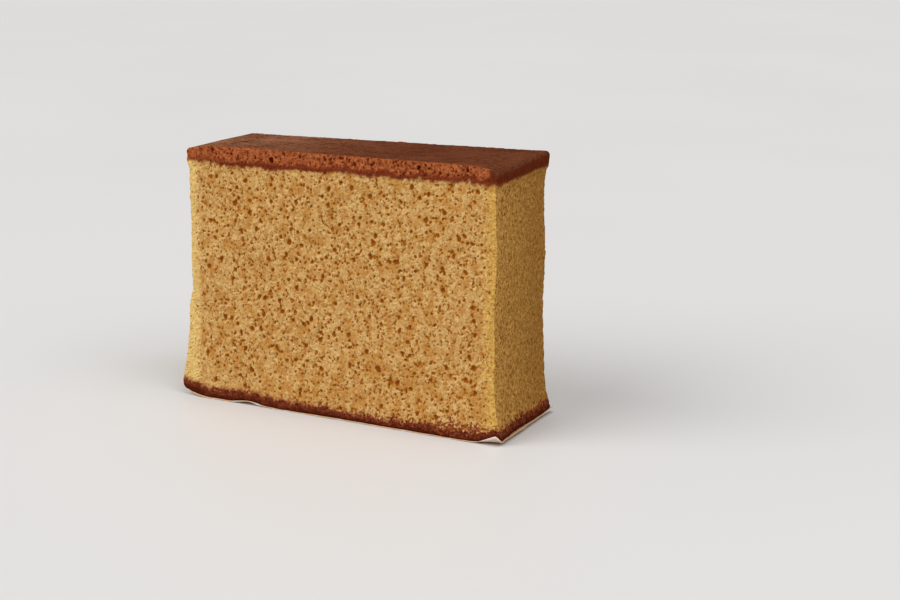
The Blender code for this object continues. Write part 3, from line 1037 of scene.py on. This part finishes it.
class CastellaCrumb(bpy.types.PropertyGroup):
    """Sizes and colours of the open crumb."""

    lattice_step: FloatProperty(
        name="Lattice step", description="Distance between the surface's points",
        default=0.24 * MM, min=0.2 * MM, max=2 * MM, unit="LENGTH", precision=5)
    fine_cell: FloatProperty(
        name="Fine bubble spacing", description="Size of the cell that holds one fine bubble",
        default=0.66 * MM, min=0.5 * MM, max=5 * MM, unit="LENGTH", precision=5)
    fine_pore: FloatProperty(
        name="Fine bubble", description="Radius of the largest fine bubbles",
        default=0.42 * MM, min=0.1 * MM, max=1 * MM, unit="LENGTH", precision=5)
    large_cell: FloatProperty(
        name="Large bubble spacing", description="Size of the cell that holds one large bubble",
        default=1.7 * MM, min=1 * MM, max=8 * MM, unit="LENGTH", precision=5)
    large_pore: FloatProperty(
        name="Large bubble", description="Radius of the largest bubbles",
        default=0.7 * MM, min=0.2 * MM, max=1.5 * MM, unit="LENGTH", precision=5)
    pore_depth: FloatProperty(
        name="Pore depth", description="How deep an opened bubble is at most",
        default=0.5 * MM, min=0.1 * MM, max=2 * MM, unit="LENGTH", precision=5)
    pore_tallness: FloatProperty(
        name="Bubble tallness", description="Height of a bubble over its width",
        default=1.2, min=1.0, max=2.0)
    end_fineness: FloatProperty(
        name="End fineness", description="Size of the bubbles at both ends, as a share of those inside",
        default=0.5, min=0.1, max=1.0, subtype="FACTOR")
    colour: FloatVectorProperty(
        name="Crumb", description="Colour of the crumb's raised grain",
        default=(0.62, 0.39, 0.15), min=0, max=1, subtype="COLOR")
    # Partly painted shade: the colour between the raised grains and in small hollows
    shade_colour: FloatVectorProperty(
        name="Crumb shade", description="Colour between the crumb's raised grains",
        default=(0.42, 0.19, 0.035), min=0, max=1, subtype="COLOR")
    # Painted shade: the colour of shallow pits, also used for shallow pores and between the grains near both
    # ends
    pit_shade_colour: FloatVectorProperty(
        name="Patches", description="Colour of soft browner patches in the crumb",
        default=(0.42, 0.16, 0.022), min=0, max=1, subtype="COLOR")
    # Painted shade: opened bubbles are darkened for the shade that falls in them
    pore_shade_colour: FloatVectorProperty(
        name="Pores", description="Colour inside opened bubbles",
        default=(0.29, 0.082, 0.007), min=0, max=1, subtype="COLOR")
    left_end_colour: FloatVectorProperty(
        name="Left end", description="Colour that the crumb takes near its left end",
        default=(0.71, 0.485, 0.175), min=0, max=1, subtype="COLOR")
    right_end_colour: FloatVectorProperty(
        name="Right end", description="Colour that the crumb takes near its right end",
        default=(0.62, 0.385, 0.1), min=0, max=1, subtype="COLOR")
    right_face_colour: FloatVectorProperty(
        name="Right face", description="Colour of the right end itself",
        default=(0.53, 0.28, 0.072), min=0, max=1, subtype="COLOR")
    right_face_shade: FloatVectorProperty(
        name="Right face shade", description="Colour between the grains of the right end",
        default=(0.18, 0.07, 0.01), min=0, max=1, subtype="COLOR")


class CastellaCrust(bpy.types.PropertyGroup):
    """Colours of the browned top and base."""

    colour: FloatVectorProperty(
        name="Crust", description="Colour of the browned crumb under the skin",
        default=(0.41, 0.118, 0.038), min=0, max=1, subtype="COLOR")
    # Partly painted shade: the colour between the browned crumb's grains and in small hollows
    shade_colour: FloatVectorProperty(
        name="Crust shade", description="Colour between the browned crumb's grains",
        default=(0.13, 0.016, 0.003), min=0, max=1, subtype="COLOR")
    # Painted shade: the browned crumb's bubbles are darkened for the shade that falls in them
    pore_shade_colour: FloatVectorProperty(
        name="Crust pores", description="Colour inside the browned crumb's bubbles",
        default=(0.09, 0.008, 0.001), min=0, max=1, subtype="COLOR")
    line_colour: FloatVectorProperty(
        name="Crust line", description="Colour of the darker line between crust and crumb",
        default=(0.16, 0.027, 0.01), min=0, max=1, subtype="COLOR")
    skin_colour: FloatVectorProperty(
        name="Skin", description="Colour of the baked skin on top",
        default=(0.145, 0.046, 0.021), min=0, max=1, subtype="COLOR")
    skin_end_colour: FloatVectorProperty(
        name="Skin at the ends", description="Colour of the redder skin that runs down both ends",
        default=(0.125, 0.024, 0.008), min=0, max=1, subtype="COLOR")
    # Painted sheen: this paler skin towards the left end stands for a soft reflection on it
    skin_sheen_colour: FloatVectorProperty(
        name="Skin at the left", description="Colour of the paler skin towards the left end",
        default=(0.29, 0.125, 0.066), min=0, max=1, subtype="COLOR")
    skin_shade: FloatVectorProperty(
        name="Skin shade", description="Colour of the skin's darker mottling",
        default=(0.078, 0.022, 0.009), min=0, max=1, subtype="COLOR")
    base_colour: FloatVectorProperty(
        name="Base", description="Colour of the dark base",
        default=(0.18, 0.04, 0.017), min=0, max=1, subtype="COLOR")
    base_shade: FloatVectorProperty(
        name="Base shade", description="Colour between the dark base's grains",
        default=(0.07, 0.011, 0.004), min=0, max=1, subtype="COLOR")


class CastellaPaper(bpy.types.PropertyGroup):
    """Size and colours of the baking paper."""

    thickness: FloatProperty(
        name="Paper thickness", description="Thickness of the baking paper",
        default=0.12 * MM, min=0.05 * MM, max=0.5 * MM, unit="LENGTH", precision=5)
    columns: IntProperty(
        name="Paper columns", description="Points along the sheet", default=181, min=20, max=400)
    rows: IntProperty(
        name="Paper rows", description="Points across the sheet", default=81, min=10, max=200)
    colour: FloatVectorProperty(
        name="Paper", description="Colour of the paper's fibres",
        default=(0.72, 0.62, 0.55), min=0, max=1, subtype="COLOR")
    shade_colour: FloatVectorProperty(
        name="Paper shade", description="Colour between the paper's fibres",
        default=(0.6, 0.5, 0.42), min=0, max=1, subtype="COLOR")
    bare_colour: FloatVectorProperty(
        name="Bare paper", description="Colour of the torn corners, which are clean",
        default=(0.84, 0.68, 0.63), min=0, max=1, subtype="COLOR")
    stain_colour: FloatVectorProperty(
        name="Stains", description="Colour of the baked-on stains",
        default=(0.55, 0.3, 0.12), min=0, max=1, subtype="COLOR")


class CastellaStage(bpy.types.PropertyGroup):
    """Floor, light and camera."""

    floor_colour: FloatVectorProperty(
        name="Floor", description="Colour of the floor",
        default=(0.66, 0.65, 0.64), min=0, max=1, subtype="COLOR")
    floor_shade: FloatVectorProperty(
        name="Floor shade", description="Colour of the floor's faint clouding",
        default=(0.645, 0.635, 0.625), min=0, max=1, subtype="COLOR")
    floor_reach: FloatProperty(
        name="Floor reach", description="From the middle of the floor to its edge",
        default=4.0, min=0.5, max=20, unit="LENGTH")
    sky_light: FloatProperty(
        name="Surrounding light", description="Strength of the even light from all round",
        default=0.4, min=0, max=5)
    key_light: FloatProperty(
        name="Key light", description="Strength of the soft light from the front left",
        default=2.1, min=0, max=20)
    light_spread: FloatProperty(
        name="Light spread", description="How wide both lights look from the slice",
        default=math.radians(50), min=0, max=math.pi, subtype="ANGLE")
    key_turn: FloatVectorProperty(
        name="Key light turn", description="The key light's turn from shining straight down",
        default=(math.radians(50), 0, math.radians(-38)), subtype="EULER")
    fill_light: FloatProperty(
        name="Fill light", description="Strength of the soft light from high up on the right",
        default=1.5, min=0, max=20)
    fill_turn: FloatVectorProperty(
        name="Fill light turn", description="The fill light's turn from shining straight down",
        default=(math.radians(12), math.radians(32), 0), subtype="EULER")
    camera_place: FloatVectorProperty(
        name="Camera place", description="Where the camera stands",
        default=(0.2146, -0.3695, 0.13317), subtype="TRANSLATION", unit="LENGTH")
    camera_turn: FloatVectorProperty(
        name="Camera turn", description="The camera's tilt from straight down, roll and heading",
        default=(math.radians(75.97), math.radians(-0.27), math.radians(27.41)), subtype="EULER")
    camera_lens: FloatProperty(
        name="Lens", description="The camera's focal length in millimetres",
        default=72.0, min=10, max=300)


def crumb_settings():
    return bpy.context.scene.castella_crumb


def crust_settings():
    return bpy.context.scene.castella_crust


def paper_settings():
    return bpy.context.scene.castella_paper


def stage_settings():
    return bpy.context.scene.castella_stage


# Operators

class CASTELLA_OT_cut_faces(bpy.types.Operator):
    """Add the front and back cut faces, with open crumb between the browned top and the base"""

    bl_idname = "castella.cut_faces"
    bl_label = "Cut faces"

    def execute(self, context):
        for name, face in (("front_crumb", -1), ("back_crumb", 1)):
            points, outward, height = (array[:, ::-face] for array in cut_grid(face))
            add_sponge(name, points, outward, height, skin_share(points, height, height - HEIGHT))
        return {"FINISHED"}


class CASTELLA_OT_end_faces(bpy.types.Operator):
    """Add the finer crumb of both ends, up to the skin that runs down them"""

    bl_idname = "castella.end_faces"
    bl_label = "End faces"

    def execute(self, context):
        heights, skin_row = wall_heights()
        for name, side in (("left_crumb", -1), ("right_crumb", 1)):
            grids = end_grid(side, heights[: skin_row + 1])
            points, outward, height = (array[:, ::side] for array in grids)
            skin = skin_share(points, height, full_depth(HEIGHT) - np.abs(points[..., 1]))
            add_sponge(name, points, outward, height, skin)
        return {"FINISHED"}


class CASTELLA_OT_top_crust(bpy.types.Operator):
    """Add the smooth browned top, with the crust that it forms over both ends"""

    bl_idname = "castella.top_crust"
    bl_label = "Top crust"

    def execute(self, context):
        add_sponge("top_crust", *top_grid())
        return {"FINISHED"}


class CASTELLA_OT_underside(bpy.types.Operator):
    """Add the dark lower face, which lies on the paper"""

    bl_idname = "castella.underside"
    bl_label = "Underside"

    def execute(self, context):
        rings = underside_rings()
        count, around = rings.shape[:2]
        centre = count * around
        none = np.zeros(centre + 2)
        measures = {key: none for key in ("pore", "skin", "above_base", "sideways")}
        measures["below_top"] = none + HEIGHT / MM
        measures["from_end"] = none + FAR_FROM_END
        # A grid of one more column than a ring has points, whose last column is its first again
        quads = grid_quads(count, around + 1)
        quads = quads // (around + 1) * around + quads % (around + 1) % around
        edge = np.arange(around)
        inner = edge + (count - 1) * around
        # One fan closes the underside's middle, and the other closes the piece inside the slice
        low_fan = np.stack([inner, np.roll(inner, -1), np.full(around, centre)], axis=-1)
        high_fan = np.stack([np.roll(edge, -1), edge, np.full(around, centre + 1)], axis=-1)
        points = np.vstack([rings.reshape(-1, 3), [0, 0, underside(0, 0)], [0, 0, HEIGHT / 2]])
        hidden = np.concatenate([low_fan, high_fan])
        piece = add_piece("base_crust", points, quads, hidden, sponge_finish(), measures)
        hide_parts("castella")
        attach(piece, "root")
        return {"FINISHED"}


class CASTELLA_OT_baking_paper(bpy.types.Operator):
    """Add the baking paper under the slice, with its two torn corners bent up"""

    bl_idname = "castella.baking_paper"
    bl_label = "Baking paper"

    def execute(self, context):
        paper = paper_settings()
        points, bare = paper_points(paper.columns, paper.rows)
        quads = grid_quads(paper.rows, paper.columns)
        none = np.zeros((0, 3), int)
        measures = {"bare": bare}
        piece = add_piece("paper_sheet", points.reshape(-1, 3), quads, none, paper_finish(), measures)
        thicken = piece.modifiers.new("thickness", "SOLIDIFY")
        thicken.thickness = paper.thickness
        thicken.offset = 1
        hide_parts("base_paper")
        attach(piece, "root")
        return {"FINISHED"}


class CASTELLA_OT_stage(bpy.types.Operator):
    """Add the floor, the light and the camera"""

    bl_idname = "castella.stage"
    bl_label = "Stage"

    def execute(self, context):
        stage = stage_settings()
        reach = stage.floor_reach
        x, y = np.meshgrid([-reach, reach], [-reach, reach])
        corners = np.stack([x, y, np.zeros_like(x)], axis=-1).reshape(-1, 3) - row_shift()
        none = np.zeros((0, 3), int)
        floor = add_piece("floor", corners, grid_quads(2, 2), none, floor_finish(), {})
        self.light_up(context.scene, stage)
        self.place_camera(context.scene, stage)
        context.scene.view_settings.view_transform = "Standard"
        return {"FINISHED"}

    def light_up(self, scene, stage):
        world = bpy.data.worlds.new("surroundings")
        world.use_nodes = True
        background = world.node_tree.nodes["Background"]
        background.inputs["Color"].default_value = (1, 1, 1, 1)
        background.inputs["Strength"].default_value = stage.sky_light
        scene.world = world
        key = ("key_light", stage.key_light, stage.key_turn)
        fill = ("fill_light", stage.fill_light, stage.fill_turn)
        for name, strength, turn in (key, fill):
            light = bpy.data.lights.new(name, "SUN")
            light.energy = strength
            light.angle = stage.light_spread
            lamp = bpy.data.objects.new(name, light)
            lamp.rotation_euler = turn
            scene.collection.objects.link(lamp)

    def place_camera(self, scene, stage):
        lens = bpy.data.cameras.new("camera")
        lens.lens = stage.camera_lens
        lens.clip_start = 0.01
        camera = bpy.data.objects.new("camera", lens)
        camera.rotation_euler = stage.camera_turn
        camera.location = stage.camera_place
        scene.collection.objects.link(camera)
        scene.camera = camera


# Panel and registration

class CASTELLA_PT_sidebar(bpy.types.Panel):
    """Lists the slice's settings and the pieces to add"""

    bl_idname = "CASTELLA_PT_sidebar"
    bl_label = "Castella slice"
    bl_space_type = "VIEW_3D"
    bl_region_type = "UI"
    bl_category = "Castella"

    def draw(self, context):
        for operator in OPERATORS:
            self.layout.operator(operator.bl_idname)
        for key in SETTINGS:
            group = getattr(context.scene, key)
            box = self.layout.box()
            for name in group.bl_rna.properties.keys():
                if name not in ("rna_type", "name"):
                    box.prop(group, name)


OPERATORS = (
    CASTELLA_OT_cut_faces,
    CASTELLA_OT_end_faces,
    CASTELLA_OT_top_crust,
    CASTELLA_OT_underside,
    CASTELLA_OT_baking_paper,
    CASTELLA_OT_stage,
)
SETTINGS = {
    "castella_crumb": CastellaCrumb,
    "castella_crust": CastellaCrust,
    "castella_paper": CastellaPaper,
    "castella_stage": CastellaStage,
}


def register():
    for made in (*SETTINGS.values(), *OPERATORS, CASTELLA_PT_sidebar):
        bpy.utils.register_class(made)
    for key, group in SETTINGS.items():
        setattr(bpy.types.Scene, key, PointerProperty(type=group))


def unregister():
    for key in SETTINGS:
        delattr(bpy.types.Scene, key)
    for made in (CASTELLA_PT_sidebar, *reversed(OPERATORS), *reversed(SETTINGS.values())):
        bpy.utils.unregister_class(made)


def main():
    register()
    bpy.ops.castella.cut_faces()
    bpy.ops.castella.end_faces()
    bpy.ops.castella.top_crust()
    bpy.ops.castella.underside()
    bpy.ops.castella.baking_paper()
    bpy.ops.castella.stage()


if __name__ == "__main__":
    main()
